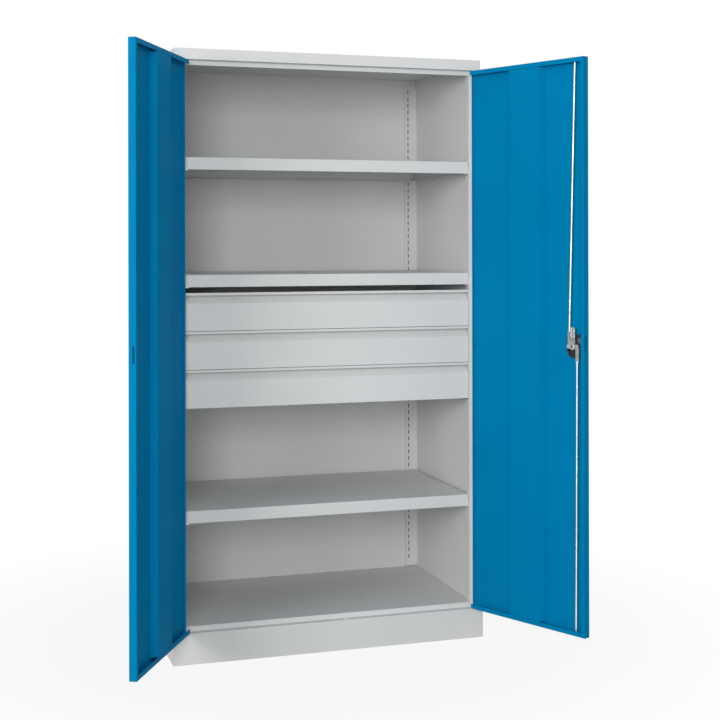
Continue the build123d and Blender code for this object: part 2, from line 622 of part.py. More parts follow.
for number in range(1, DRAWER_COUNT + 1):
    lip_top = DRAWER_TOP - DRAWER_PITCH * (number - 1)
    front_bottom = lip_top - DRAWER_HEIGHT
    save(drawer_front(lip_top), f"drawer_{number}_front")
    save(drawer_box(lip_top), f"drawer_{number}_box")
    save(drawer_tracks(front_bottom), f"drawer_{number}_tracks")
    save(drawer_runners(front_bottom), f"drawer_{number}_runners")
    save(rollers(FRONT_ROLLER_Y, front_bottom), f"drawer_{number}_front_rollers")
    save(rollers(REAR_ROLLER_Y, front_bottom), f"drawer_{number}_rear_rollers")


def door_skin(side):
    """A folded tray: outer face, flanges all round and lips at the top, bottom and free edge."""
    plane = door_plane(side)
    towards = -SIGNS[side]
    with BuildPart() as skin:
        block((towards * NEAR, towards * FAR), (FACE, RIM), (DOOR_BOTTOM, DOOR_TOP), plane)
        bend = skin.edges().filter_by(Axis.Z).sort_by_distance(plane.from_local_coords(Vector(
            towards * NEAR, FACE, (DOOR_BOTTOM + DOOR_TOP) / 2)))[0]
        fillet(bend, BEND_RADIUS)
        block((towards * (NEAR + DOOR_SHEET), towards * (FAR - DOOR_SHEET)),
              (FACE + DOOR_SHEET, RIM - DOOR_SHEET),
              (DOOR_BOTTOM + DOOR_SHEET, DOOR_TOP - DOOR_SHEET), plane, Mode.SUBTRACT)
        block((towards * NEAR, towards * (FAR - DOOR_EDGE_LIP)), (RIM - DOOR_SHEET, RIM),
              (DOOR_BOTTOM + DOOR_LIP, DOOR_TOP - DOOR_LIP), plane, Mode.SUBTRACT)
        block((towards * NEAR, towards * (NEAR + HINGE_CORNER_INSET)), (FACE + HINGE_EDGE_DEPTH, RIM),
              (DOOR_BOTTOM, DOOR_TOP), plane, Mode.SUBTRACT)
        block((towards * (FAR - DOOR_SHEET), towards * FAR),
              (CAM_FACE - TONGUE_SLOT_PLAY, CAM_FACE + CAM_SHEET + RIB_HEIGHT + TONGUE_SLOT_PLAY),
              (LOCK_HEIGHT - TONGUE_SLOT_BELOW, LOCK_HEIGHT + TONGUE_SLOT_ABOVE), plane, Mode.SUBTRACT)
        if side == "right":
            bar(SPINDLE_RADIUS + SPINDLE_PLAY, (towards * LOCK, LOCK_HEIGHT),
                (FACE, FACE + DOOR_SHEET), plane, Mode.SUBTRACT)
            for level in (DOOR_BOTTOM, DOOR_TOP - DOOR_SHEET):
                with BuildSketch(plane.offset(level)):
                    with Locations((towards * GUIDE, ROD_LINE)):
                        SlotOverall(GUIDE_LENGTH, GUIDE_WIDTH)
                extrude(amount=DOOR_SHEET, mode=Mode.SUBTRACT)
    return skin


def door_stiffener(side):
    """A hat section over the whole height, flush with the lips."""
    plane = door_plane(side)
    towards = -SIGNS[side]
    start = FAR - STIFFENER_INSET
    end = start - STIFFENER_WIDTH
    base = FACE + DOOR_SHEET
    crown = RIM
    outer = [(start, base), (start - STIFFENER_SLOPE, crown), (end + STIFFENER_SLOPE, crown), (end, base)]
    wall = DOOR_SHEET * ((crown - base) ** 2 + STIFFENER_SLOPE ** 2) ** 0.5 / (crown - base)
    top_shift = STIFFENER_SLOPE * (1 - DOOR_SHEET / (crown - base))
    inner = [(start - wall, base), (start - wall - top_shift, crown - DOOR_SHEET),
             (end + wall + top_shift, crown - DOOR_SHEET), (end + wall, base)]
    low = DOOR_BOTTOM + DOOR_LIP + STIFFENER_END_GAP
    high = DOOR_TOP - DOOR_LIP - STIFFENER_END_GAP
    with BuildPart() as hat:
        for outline, mode in ((outer, Mode.ADD), (inner, Mode.SUBTRACT)):
            with BuildSketch(plane.offset(low)) as section:
                with BuildLine():
                    Polyline(*[(towards * along, inward) for along, inward in outline], close=True)
                make_face()
            extrude(amount=high - low, mode=mode)
    return hat


def hinge_leaf(plane, towards, width, first, bore):
    """One leaf of a continuous hinge with every second knuckle, counted from the first."""
    height = DOOR_TOP - DOOR_BOTTOM
    pitch = height / KNUCKLE_COUNT
    plate = (towards * LEAF_GAP / 2, towards * (LEAF_GAP / 2 + LEAF_SHEET))
    clear = KNUCKLE_RADIUS + KNUCKLE_PLAY
    with BuildPart() as leaf:
        block(plate, (0, width), (DOOR_BOTTOM, DOOR_TOP), plane)
        with BuildSketch(plane.offset(DOOR_BOTTOM)):
            Circle(KNUCKLE_RADIUS)
        extrude(amount=height)
        for index in range(1 - first, KNUCKLE_COUNT, 2):
            low = DOOR_BOTTOM + index * pitch
            block((-clear, clear), (-clear, clear),
                  (low - KNUCKLE_PLAY / 2, low + pitch + KNUCKLE_PLAY / 2), plane, Mode.SUBTRACT)
        with BuildSketch(plane.offset(DOOR_BOTTOM)):
            Circle(bore)
        extrude(amount=height, mode=Mode.SUBTRACT)
    return leaf


for side, sign in SIGNS.items():
    save(door_skin(side), f"{side}_door_skin")
    save(door_stiffener(side), f"{side}_door_stiffener")
    still = Plane(origin=(sign * HINGE_X, HINGE_Y, 0))
    save(hinge_leaf(door_plane(side), -sign, DOOR_LEAF_WIDTH, 0, HINGE_PIN_RADIUS + HINGE_PIN_PLAY),
         f"{side}_hinge_door_leaf")
    save(hinge_leaf(still, sign, POST_LEAF_WIDTH, 1, HINGE_PIN_RADIUS), f"{side}_hinge_post_leaf")
    with BuildPart() as hinge_pin:
        with BuildSketch(still.offset(DOOR_BOTTOM)):
            Circle(HINGE_PIN_RADIUS)
        extrude(amount=DOOR_TOP - DOOR_BOTTOM)
    save(hinge_pin, f"{side}_hinge_pin")

# Lock in the right door; its frame is the open door's
DOOR = door_plane("right")
LOCK_AT = (-LOCK, LOCK_HEIGHT)
HOUSING_FACE = FACE + DOOR_SHEET
HOUSING_FLOOR = HOUSING_FACE + HOUSING_BASE
CAM_BACK = CAM_FACE + CAM_SHEET
ROSE_FACE = FACE - ROSE_THICKNESS
HUB_BACK = ROSE_FACE - HUB_GAP
HUB_FACE = HUB_BACK - HUB_LENGTH
GRIP_FACE = HUB_FACE - GRIP_THICKNESS
PANE_FLOOR = HOUSING_FACE + HOUSING_DEPTH - PANE_DEPTH
PANE_OUTLINE = [(PANE_LEFT, PANE_HIGH), (PANE_RIGHT, PANE_HIGH), (PANE_RIGHT, PANE_LOW),
                (PANE_LEFT, PANE_STEP)]


def lock_plane(depth):
    """The plane across the lock at a depth: X towards the free edge, Y up, Z inward."""
    across = Plane(origin=(-LOCK, depth, LOCK_HEIGHT), x_dir=(-1, 0, 0), z_dir=(0, 1, 0))
    return Plane(DOOR * across)


with BuildPart() as lock_housing:
    with BuildSketch(lock_plane(HOUSING_FACE)) as base_plate:
        with BuildLine():
            Polyline((-HOUSING_LEFT, -HOUSING_DROP), (HOUSING_RIGHT, -HOUSING_DROP),
                     (HOUSING_RIGHT, HOUSING_RISE), (-HOUSING_LEFT, HOUSING_RISE), close=True)
        make_face()
        low_corner = base_plate.vertices().sort_by_distance((-HOUSING_LEFT, -HOUSING_DROP, 0))[0]
        fillet(low_corner, HOUSING_ROUND)
    extrude(amount=HOUSING_BASE)
    with BuildSketch(lock_plane(HOUSING_FACE)):
        with Locations((HOUSING_RIGHT - CASE_WIDTH / 2, 0)):
            RectangleRounded(CASE_WIDTH, CASE_HEIGHT, CASE_CORNER)
        with Locations((HOUSING_RIM / 2 - HOUSING_LEFT, (HOUSING_RISE + HOUSING_ROUND - HOUSING_DROP) / 2)):
            Rectangle(HOUSING_RIM, HOUSING_RISE + HOUSING_DROP - HOUSING_ROUND)
    extrude(amount=HOUSING_DEPTH)
    with BuildSketch(lock_plane(PANE_FLOOR)):
        with BuildLine():
            Polyline(*PANE_OUTLINE, close=True)
        make_face()
    extrude(amount=PANE_DEPTH, mode=Mode.SUBTRACT)
    bar(SPINDLE_RADIUS + SPINDLE_PLAY, LOCK_AT, (HOUSING_FACE, HOUSING_FLOOR), DOOR, Mode.SUBTRACT)
save(lock_housing, "lock_housing")

# The bare face of the lock's body, seen through a window in the housing
with BuildPart() as lock_body:
    with BuildSketch(lock_plane(PANE_FLOOR)):
        with BuildLine():
            Polyline(*PANE_OUTLINE, close=True)
        make_face()
    extrude(amount=PANE_DEPTH - PANE_SINK)
save(lock_body, "lock_body")

# Cam: a boss with the tongue that reaches into the other door, and an ear with a stud for each rod
with BuildPart() as lock_cam:
    with BuildSketch(lock_plane(CAM_FACE)):
        Circle(CAM_RADIUS)
        SlotOverall(2 * (PIN_OFFSET + EAR_RADIUS), 2 * EAR_RADIUS)
        with Locations((0, TONGUE_REACH / 2)):
            RectangleRounded(TONGUE_WIDTH, TONGUE_REACH, TONGUE_CORNER)
        Rectangle(SPINDLE_SQUARE, SPINDLE_SQUARE, mode=Mode.SUBTRACT)
    extrude(amount=CAM_SHEET)
    with BuildSketch(lock_plane(CAM_BACK)):
        with Locations((-RIB_SPREAD, RIB_START + RIB_LENGTH / 2), (RIB_SPREAD, RIB_START + RIB_LENGTH / 2)):
            Rectangle(RIB_WIDTH, RIB_LENGTH)
    extrude(amount=RIB_HEIGHT)
    with BuildSketch(lock_plane(CAM_BACK)):
        with Locations((-PIN_OFFSET, 0), (PIN_OFFSET, 0)):
            Circle(RIVET_RADIUS)
    extrude(amount=RIVET_HEIGHT)
    with BuildSketch(lock_plane(CAM_FACE - STUD_LENGTH)):
        with Locations((-PIN_OFFSET, 0), (PIN_OFFSET, 0)):
            Circle(STUD_RADIUS)
    extrude(amount=STUD_LENGTH)
save(lock_cam, "lock_cam")

with BuildPart() as lock_spindle:
    bar(SPINDLE_RADIUS, LOCK_AT, (HUB_BACK, CAM_FACE), DOOR)
    for depth, length in ((CAM_FACE, CAM_SHEET), (HUB_BACK - TENON, TENON)):
        with BuildSketch(lock_plane(depth)):
            Rectangle(SPINDLE_SQUARE, SPINDLE_SQUARE)
        extrude(amount=length)
    bar(CAM_SCREW_SHANK_RADIUS, LOCK_AT, (CAM_BACK - CAM_SCREW_SHANK, CAM_BACK), DOOR, Mode.SUBTRACT)
save(lock_spindle, "lock_spindle")

with BuildPart() as cam_screw:
    bar(CAM_SCREW_SHANK_RADIUS, LOCK_AT, (CAM_BACK - CAM_SCREW_SHANK, CAM_BACK), DOOR)
    with BuildSketch(lock_plane(CAM_BACK)):
        RegularPolygon(CAM_SCREW_RADIUS, 6)
    extrude(amount=CAM_SCREW_HEAD)
save(cam_screw, "cam_screw")


def lock_rod(across, tip_height):
    """A rod from its flattened end on a cam stud to the guide slot in the door's flange."""
    eye = Vector(-LOCK + across, ROD_LINE, LOCK_HEIGHT)
    tip = Vector(-GUIDE, ROD_LINE, tip_height)
    run = tip - eye
    neck = eye + run.normalized() * STRAP_LENGTH
    strap_face = eye - Vector(0, STRAP_THICKNESS / 2, 0)
    with BuildPart() as rod:
        with BuildSketch(Plane(DOOR * Plane(origin=neck, x_dir=(0, 1, 0), z_dir=run))):
            Circle(ROD_RADIUS)
        extrude(amount=run.length - STRAP_LENGTH)
        rims = rod.edges().filter_by(GeomType.CIRCLE)
        chamfer(rims, ROD_CHAMFER)
        with BuildSketch(Plane(DOOR * Plane(origin=strap_face, x_dir=run, z_dir=(0, 1, 0)))):
            with Locations((STRAP_LENGTH / 2, 0)):
                SlotOverall(STRAP_LENGTH + STRAP_WIDTH, STRAP_WIDTH)
        extrude(amount=STRAP_THICKNESS)
        bar(STUD_RADIUS + STUD_PLAY, (eye.X, eye.Z),
            (ROD_LINE - STRAP_THICKNESS, ROD_LINE + STRAP_THICKNESS), DOOR, Mode.SUBTRACT)
    return rod


save(lock_rod(PIN_OFFSET, DOOR_TOP - ROD_TIP_INSET), "upper_rod")
save(lock_rod(-PIN_OFFSET, DOOR_BOTTOM + ROD_TIP_INSET), "lower_rod")

# Outside: a fixed rose, the turning handle and its lock cylinder; the handle lies level when unlocked
with BuildPart() as handle_rose:
    with BuildSketch(lock_plane(ROSE_FACE)):
        Circle(ROSE_RADIUS)
        Circle(SPINDLE_RADIUS + SPINDLE_PLAY, mode=Mode.SUBTRACT)
    extrude(amount=ROSE_THICKNESS)
save(handle_rose, "handle_rose")

with BuildPart() as handle:
    with BuildSketch(lock_plane(HUB_FACE)):
        Circle(HUB_RADIUS)
    extrude(amount=HUB_LENGTH)
    with BuildSketch(lock_plane(GRIP_FACE)):
        RectangleRounded(GRIP_LENGTH, GRIP_WIDTH, GRIP_WIDTH / 2 - GRIP_FILLET / 2)
    extrude(amount=GRIP_THICKNESS)
    fillet(handle.faces().sort_by_distance(lock_plane(GRIP_FACE).origin)[0].edges(), GRIP_FILLET)
    bar(CYLINDER_RADIUS + CYLINDER_PLAY, LOCK_AT, (GRIP_FACE, GRIP_FACE + CYLINDER_LENGTH), DOOR,
        Mode.SUBTRACT)
    with BuildSketch(lock_plane(HUB_BACK - TENON)):
        Rectangle(SPINDLE_SQUARE, SPINDLE_SQUARE)
    extrude(amount=TENON, mode=Mode.SUBTRACT)
save(handle, "handle")

with BuildPart() as lock_cylinder:
    bar(CYLINDER_RADIUS, LOCK_AT, (GRIP_FACE, GRIP_FACE + CYLINDER_LENGTH), DOOR)
    with BuildSketch(lock_plane(GRIP_FACE)):
        Rectangle(KEYWAY_WIDTH, KEYWAY_LENGTH)
    extrude(amount=KEYWAY_DEPTH, mode=Mode.SUBTRACT)
save(lock_cylinder, "lock_cylinder")
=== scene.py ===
# %% [markdown]
# # A steel storage cabinet with blue doors
# The real cabinet is folded from thin sheet, spot-welded and powder-coated: light grey for the carcass,
# the shelves and the drawers, sky blue for the doors. Its shapes come ready from the CAD frame, in
# metres, so this lesson is about surfaces, small fittings, light and the camera.

# %% Load the frame
import json
from math import radians

import bmesh
import bpy
import numpy as np
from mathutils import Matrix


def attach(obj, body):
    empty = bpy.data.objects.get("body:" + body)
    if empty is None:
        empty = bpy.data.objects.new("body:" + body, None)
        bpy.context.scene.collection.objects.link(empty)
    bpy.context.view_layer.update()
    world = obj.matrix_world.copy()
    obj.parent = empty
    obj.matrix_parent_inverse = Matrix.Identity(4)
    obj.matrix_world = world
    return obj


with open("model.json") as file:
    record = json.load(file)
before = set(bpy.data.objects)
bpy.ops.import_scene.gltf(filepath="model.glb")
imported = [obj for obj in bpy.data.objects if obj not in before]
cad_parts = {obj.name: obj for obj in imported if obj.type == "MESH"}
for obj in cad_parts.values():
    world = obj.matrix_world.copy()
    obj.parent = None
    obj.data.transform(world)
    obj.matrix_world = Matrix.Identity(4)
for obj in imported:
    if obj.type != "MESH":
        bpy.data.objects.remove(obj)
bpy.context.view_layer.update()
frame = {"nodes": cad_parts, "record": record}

nodes = frame["nodes"]

# %% [markdown]
# ## Colours and nodes
# Paint makers give colours as sRGB codes, but a shader works with linear light. One function turns a hex
# code into linear values. A second one adds a shader node with its settings and its inputs, where an
# input is a plain value or the output of another node, so each material below reads like a recipe.

# %% Two helpers for every material
def linear(code):
    """The linear RGBA of an sRGB code: c/12.92 below 0.04045, else ((c + 0.055)/1.055) to the power 2.4."""
    channels = np.array([int(code[i:i + 2], 16) for i in (1, 3, 5)]) / 255
    curve = ((channels + 0.055) / 1.055) ** 2.4
    return (*np.where(channels < 0.04045, channels / 12.92, curve).tolist(), 1.0)


def add(tree, kind, inputs=None, **settings):
    """Add one shader node, set its properties, and fill its inputs with values or other nodes' outputs."""
    made = tree.nodes.new("ShaderNode" + kind)
    for name, value in settings.items():
        setattr(made, name, value)
    for key, value in (inputs or {}).items():
        if isinstance(value, bpy.types.NodeSocket):
            tree.links.new(value, made.inputs[key])
        else:
            made.inputs[key].default_value = value
    return made


MILLIMETRE = 0.001
print("mid grey is", linear("#808080")[0])

# %% [markdown]
# ## What the finishes share
# Every finish here is built in the same way. A noise on Object coordinates, which are in metres, stands
# for what the process leaves on a surface. It picks between two near tones, it varies the roughness a
# little, and it tilts the surface. Each of these steps is a small function, so that a finish only says
# which sizes and tones it has.

# %% Steps that every finish takes
def empty_material(name):
    """A new material, its tree, and its Object coordinates as the only node in it."""
    made = bpy.data.materials.new(name)
    made.use_nodes = True
    tree = made.node_tree
    tree.nodes.clear()
    return made, tree, add(tree, "TexCoord").outputs["Object"]


def noise(tree, place, size, detail):
    """Noise whose features are about this large: its scale is one over the size."""
    return add(tree, "TexNoise", {"Vector": place, "Scale": 1 / size, "Detail": detail}).outputs["Fac"]


def two_tones(tree, factor, dark, light, start, end):
    """A colour that runs from dark to light while the factor runs from start to end."""
    ramp = add(tree, "ValToRGB", {"Fac": factor})
    for stop, position, code in zip(ramp.color_ramp.elements, (start, end), (dark, light)):
        stop.position = position
        stop.color = linear(code)
    return ramp.outputs["Color"]


def varied(tree, factor, middle, spread):
    """A value that runs from middle - spread to middle + spread while the factor runs from 0 to 1."""
    limits = {"To Min": middle - spread, "To Max": middle + spread}
    return add(tree, "MapRange", {"Value": factor, **limits}).outputs[0]


def bump(tree, height, strength, distance, **inputs):
    """The surface's direction after a relief of this height is laid on it."""
    relief = {"Height": height, "Strength": strength, "Distance": distance}
    return add(tree, "Bump", {**relief, **inputs}).outputs["Normal"]


def finished(made, inputs):
    """Close the material with a principled shader that takes these inputs."""
    shader = add(made.node_tree, "BsdfPrincipled", inputs)
    add(made.node_tree, "OutputMaterial", {"Surface": shader.outputs["BSDF"]})
    print("made", made.name)
    return made


# %% [markdown]
# ## Powder coat
# The panels are sprayed with dry polyester powder and baked. The powder flows into a skin with a faint
# orange peel: dimples 2 to 3 mm across, and a fine grain in the colour. The thin sheet under it is never
# quite flat either, and bends reflections a little every 26 cm or so. A real dimple is finer than a pixel
# here, so the peel is drawn 6 mm wide. The folds of the sheet are round, about 1.5 mm outside, and the
# Bevel node bends the normals there, so that an edge takes a soft line of light.
#
# The rows of slots in the rear rails and in the door posts open onto hollows, and through each slot the
# hollow is in shade and dark. That shade is painted: a box in Object coordinates marks the hollow, alike
# on both sides, and inside it the coat's colour gives way to a dark grey, the painted shade.

# %% Sizes in the coat
PEEL = 6 * MILLIMETRE
PEEL_DEPTH = 0.06 * MILLIMETRE
GRAIN = 3 * MILLIMETRE
GRAIN_SHARE = 0.65
WAVE = 260 * MILLIMETRE
WAVE_DEPTH = 1.2 * MILLIMETRE
WAVE_SHARE = 0.35
FOLD = 1.5 * MILLIMETRE
# A dark grey: the painted shade seen through the slots in the hollows.
SLOT_HOLLOW_SHADE = "#3A3B3C"
print("orange peel is", PEEL, "m wide")


# %% The box where shade is painted into a hollow
def hollow(tree, place, low, high):
    """1 in a box given by two corners in mm, on both sides of x = 0: a product of three comparisons."""
    apart = add(tree, "SeparateXYZ", {0: place})
    width = add(tree, "Math", {0: apart.outputs["X"]}, operation="ABSOLUTE").outputs[0]
    inside = 1.0
    for value, start, end in zip((width, apart.outputs["Y"], apart.outputs["Z"]), low, high):
        middle = (start + end) / 2 * MILLIMETRE
        reach = (end - start) / 2 * MILLIMETRE
        near = add(tree, "Math", {0: value, 1: middle, 2: reach}, operation="COMPARE")
        inside = add(tree, "Math", {0: near.outputs[0], 1: inside}, operation="MULTIPLY").outputs[0]
    return inside


# %% Make the two powder coats
def powder_coat(name, light, dark, roughness, sheen_level, shade_in_hollow=None):
    """Cured polyester powder: the grain mixes two near shades, and peel and sheet wave tilt the surface."""
    made, tree, place = empty_material(name)
    grain = noise(tree, place, GRAIN, detail=2.0)
    wave = noise(tree, place, WAVE, detail=2.0)
    peel = noise(tree, place, PEEL, detail=1.0)
    blotch = add(tree, "Math", {0: wave, 1: WAVE_SHARE}, operation="MULTIPLY").outputs[0]
    shade = add(tree, "Math", {0: grain, 1: GRAIN_SHARE, 2: blotch}, operation="MULTIPLY_ADD").outputs[0]
    paint = two_tones(tree, shade, dark, light, start=0.35, end=0.65)
    # Painted shade: inside the box the coat's colour gives way to a dark grey for the shade in the hollow.
    if shade_in_hollow:
        layers = {0: hollow(tree, place, *shade_in_hollow), 6: paint, 7: linear(SLOT_HOLLOW_SHADE)}
        paint = add(tree, "Mix", layers, data_type="RGBA").outputs[2]
    edge = add(tree, "Bevel", {"Radius": FOLD}, samples=4).outputs["Normal"]
    sheet = bump(tree, wave, 0.5, WAVE_DEPTH, Normal=edge)
    return finished(made, {"Base Color": paint, "Roughness": varied(tree, peel, roughness, spread=0.05),
                           "Specular IOR Level": sheen_level,
                           "Normal": bump(tree, peel, 0.5, PEEL_DEPTH, Normal=sheet)})


# Corners of the hollows in millimetres, just inside the sheets round them, where the coat takes the painted
# shade.
BEHIND_RAILS = ((462.6, 290, 140), (505.4, 299, 1945))
IN_POSTS = ((497, -273.4, 140), (525.4, -248.4, 1942))
GREY = ("#DEDFDD", "#D6D7D5", 0.48, 0.15)
grey_coat = powder_coat("grey_polyester_powder_coat", *GREY)
grey_rear = powder_coat("grey_powder_coat_painted_shade_behind_rails", *GREY, shade_in_hollow=BEHIND_RAILS)
grey_side = powder_coat("grey_powder_coat_painted_shade_in_posts", *GREY, shade_in_hollow=IN_POSTS)
blue_coat = powder_coat("blue_polyester_powder_coat", "#0084B8", "#007CAE", 0.45, 0.01)

# %% [markdown]
# ## Metal
# The rods, the cam, its spindle, the clips and the hinge pins are bright zinc: electroplated steel, pale,
# and cloudy where the bath current varied. The screws have the same plate on smoother steel, and glint.
# The runners are folded from galvanised sheet, which came out of the melt duller, so that it spreads what
# it reflects. The lock and its cylinder are satin chrome. One function makes them all, because only their
# tones and their roughness differ. Metals keep the default IOR.

# %% Make the metals
CLOUD = 25 * MILLIMETRE
BRUSH = 2 * MILLIMETRE
BRUSH_DEPTH = 0.03 * MILLIMETRE


def plated_metal(name, light, dark, roughness):
    """Plating on steel: clouds of two tones, and a roughness that follows them."""
    made, tree, place = empty_material(name)
    cloud = noise(tree, place, CLOUD, detail=4.0)
    brushed = noise(tree, place, BRUSH, detail=2.0)
    return finished(made, {"Base Color": two_tones(tree, cloud, dark, light, start=0.3, end=0.7),
                           "Metallic": 1.0, "Roughness": varied(tree, cloud, roughness, spread=0.07),
                           "Normal": bump(tree, brushed, 0.3, BRUSH_DEPTH)})


bright_zinc = plated_metal("bright_zinc_plated_steel", "#EDECE6", "#D3D3CE", 0.42)
screw_zinc = plated_metal("bright_zinc_plated_screw_steel", "#E8E7E3", "#D2D2CE", 0.22)
galvanised_sheet = plated_metal("hot_dip_galvanised_sheet", "#CFD0CD", "#B9BBB9", 0.62)
satin_chrome = plated_metal("satin_chrome_plate", "#D8D9DA", "#CFD0D1", 0.24)

# %% [markdown]
# ## Plastic
# The housing and the handle are glass-filled polyamide, black with a fine spark-eroded grain from the
# mould. The rollers are natural nylon, which is milky and lets a little light in. Subsurface scattering
# gives that milkiness, and for the black plastic it stays off.

# %% Make the plastics
SPARK_GRAIN = 1.2 * MILLIMETRE
SPARK_DEPTH = 0.05 * MILLIMETRE
MILKY_DEPTH = 2 * MILLIMETRE


def moulded_plastic(name, light, dark, roughness, glow):
    """Moulded polyamide: two near tones, the mould's eroded grain, and light scattered below the skin."""
    made, tree, place = empty_material(name)
    grain = noise(tree, place, SPARK_GRAIN, detail=3.0)
    return finished(made, {"Base Color": two_tones(tree, grain, dark, light, start=0.0, end=1.0),
                           "Roughness": varied(tree, grain, roughness, spread=0.06),
                           "Subsurface Weight": glow, "Subsurface Scale": MILKY_DEPTH,
                           "Normal": bump(tree, grain, 0.5, SPARK_DEPTH)})


black_polyamide = moulded_plastic("black_moulded_polyamide", "#2A2C2E", "#17181A", 0.48, 0.0)
natural_nylon = moulded_plastic("natural_moulded_nylon", "#E6E4DA", "#D9D6CA", 0.40, 0.2)

# %% [markdown]
# ## Who wears what
# A CAD node keeps its mesh, and only its material slot changes. The names say what each node is, so the
# finish is chosen by a piece of the name, and whatever isn't named is part of the grey carcass or of a
# drawer.

# %% Dress the CAD nodes
FINISHES = (
    (("rollers",), natural_nylon),
    (("lock_cylinder", "lock_body"), satin_chrome),
    (("lock_housing", "handle"), black_polyamide),
    (("runners", "tracks"), galvanised_sheet),
    (("screw",), screw_zinc),
    (("clips", "lock_cam", "lock_spindle", "rod", "hinge_pin"), bright_zinc),
    (("door",), blue_coat),
    (("rear_panel",), grey_rear),
    (("side_panel",), grey_side),
)


def finish_of(name):
    """The first finish in the list whose words occur in the node's name, else the grey coat."""
    for words, finish in FINISHES:
        if any(word in name for word in words):
            return finish
    return grey_coat


for name, node in nodes.items():
    node.data.materials.clear()
    node.data.materials.append(finish_of(name))
print("dressed", len(nodes), "nodes")

# %% [markdown]
# ## Spot welds
# Each door's skin is spot-welded to its hinge leaf in a column of points, 175 mm apart. Where the
# electrodes pressed, the sheet keeps a round mark with a raised rim. The mark is coloured a darker blue
# than the door: that is painted shade, for the shade that gathers in the pressed dimple. Such a mark could
# be a bump in the paint, but then it would need a position in the material. A disc of points does it more
# plainly: rings of vertices round a centre, each ring at the height that the mark has there, and the same
# disc for every weld.

# %% A mesh from grids of points
MERGE_DISTANCE = 0.01 * MILLIMETRE


def grid_mesh(name, grids):
    """Grids shaped (count, rings, spokes, 3): quads join ring to ring and the last spoke to the first."""
    count, rings, spokes, _ = grids.shape
    corner = np.arange(count * rings * spokes).reshape(count, rings, spokes)
    beside = np.roll(corner, -1, axis=2)
    quads = np.stack((corner[:, :-1], corner[:, 1:], beside[:, 1:], beside[:, :-1]), axis=-1)
    mesh = bpy.data.meshes.new(name)
    mesh.from_pydata(grids.reshape(-1, 3).tolist(), [], quads.reshape(-1, 4).tolist())
    # The innermost ring has no radius, so its points become one and its quads become triangles.
    shape = bmesh.new()
    shape.from_mesh(mesh)
    bmesh.ops.remove_doubles(shape, verts=shape.verts, dist=MERGE_DISTANCE)
    shape.to_mesh(mesh)
    shape.free()
    mesh.shade_smooth()
    made = bpy.data.objects.new(name, mesh)
    bpy.context.scene.collection.objects.link(made)
    return made


# %% A door's own directions
def on_door(side, along, inward, height):
    """Where a point so far along the door, into its tray and up is at rest: a turn about the hinge."""
    swings = (row for row in frame["record"]["behaviour"]["joints"] if row["name"] == side + "_door_swing")
    joint = next(swings)
    sign = np.sign(joint["pos_m"][0])
    turn = radians(-sign * joint["range_deg"][0])
    x, y = -sign * along, inward
    return np.stack((joint["pos_m"][0] + x * np.cos(turn) - y * np.sin(turn),
                     joint["pos_m"][1] + x * np.sin(turn) + y * np.cos(turn), height), axis=-1)


# %% Sizes of the welds
WELD_PITCH = 175 * MILLIMETRE
WELD_COUNT = 11
WELD_START = 127 * MILLIMETRE
WELD_RADIUS = 3.6 * MILLIMETRE
WELD_RINGS = 9
WELD_SPOKES = 20
RIM_RISE = 0.5 * MILLIMETRE
RIM_PLACE = 0.75
RIM_WIDTH = 0.16
RIM_END = 12
# From the hinge's axis: how far along the door the column stands, and how far inward the skin's inner
# face is.
WELD_ALONG = 9.5 * MILLIMETRE
SKIN_INSIDE = 3.3 * MILLIMETRE
heights = WELD_START + WELD_PITCH * np.arange(WELD_COUNT)
print("welds from", heights[0], "to", heights[-1], "m up")

# %% Press the welds
# Painted shade: the welds' coat is a darker blue than the door's, for the shade in the pressed marks.
weld_painted_shade = powder_coat("blue_powder_coat_painted_shade_on_weld", "#006C9A", "#005D86", 0.5, 0.01)
weld, ring, spoke = np.meshgrid(heights, np.linspace(0, 1, WELD_RINGS),
                                np.linspace(0, 2 * np.pi, WELD_SPOKES, endpoint=False), indexing="ij")
# The rim is a bell curve about three quarters of the radius out, and it ends on the sheet.
rim = RIM_RISE * np.exp(-((ring - RIM_PLACE) / RIM_WIDTH) ** 2) * (1 - ring ** RIM_END)
# Seen from inside the tray, the spokes run anticlockwise, so that the faces point into it.
for side, direction in (("left", -1), ("right", 1)):
    along = WELD_ALONG + WELD_RADIUS * ring * np.cos(direction * spoke)
    height = weld + WELD_RADIUS * ring * np.sin(direction * spoke)
    marks = grid_mesh(side + "_door_weld_marks", on_door(side, along, SKIN_INSIDE + rim, height))
    marks.data.materials.append(weld_painted_shade)
    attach(marks, side + "_door")
    print(marks.name, len(marks.data.polygons), "faces")

# %% [markdown]
# ## The camera
# The photograph was taken with a long lens from the left, about 1.3 m above the floor. The lens was
# fitted to the cabinet's edges in the picture, and the shift moves the picture down without tilting the
# camera, as a view camera does, so that upright edges stay upright.

# %% Place the camera
PHOTO_WIDTH = 720
FOCAL_PIXELS = 1371.6
CENTRE_U, CENTRE_V = 372.7, 244.4
EYE = (-1.2773, -4.6705, 1.3419)
YAW, PITCH, ROLL = 17.95, 0.083, -0.121

camera_data = bpy.data.cameras.new("photo_camera")
camera_data.sensor_width = 36
camera_data.lens = FOCAL_PIXELS / PHOTO_WIDTH * camera_data.sensor_width
camera_data.shift_x = (PHOTO_WIDTH / 2 - CENTRE_U) / PHOTO_WIDTH
camera_data.shift_y = (CENTRE_V - PHOTO_WIDTH / 2) / PHOTO_WIDTH
camera_data.clip_end = 60
camera = bpy.data.objects.new("photo_camera", camera_data)
camera.location = EYE
camera.rotation_euler = (radians(90 + PITCH), radians(-ROLL), radians(-YAW))
bpy.context.scene.collection.objects.link(camera)
bpy.context.scene.camera = camera
print("lens", round(camera_data.lens, 1), "mm")

# %% [markdown]
# ## Floor
# A product photograph on white needs a floor that melts into the background but keeps the contact shadow.
# The floor could be a plane with a white colour, but its far edge would then show against the sky. Here
# it is a disc of rings round the cabinet that glows for the camera and for reflections: less near the
# cabinet, where a part of its own shading shows, and fully further out. To the lamps it is grey paper,
# which sends only a little light back up.

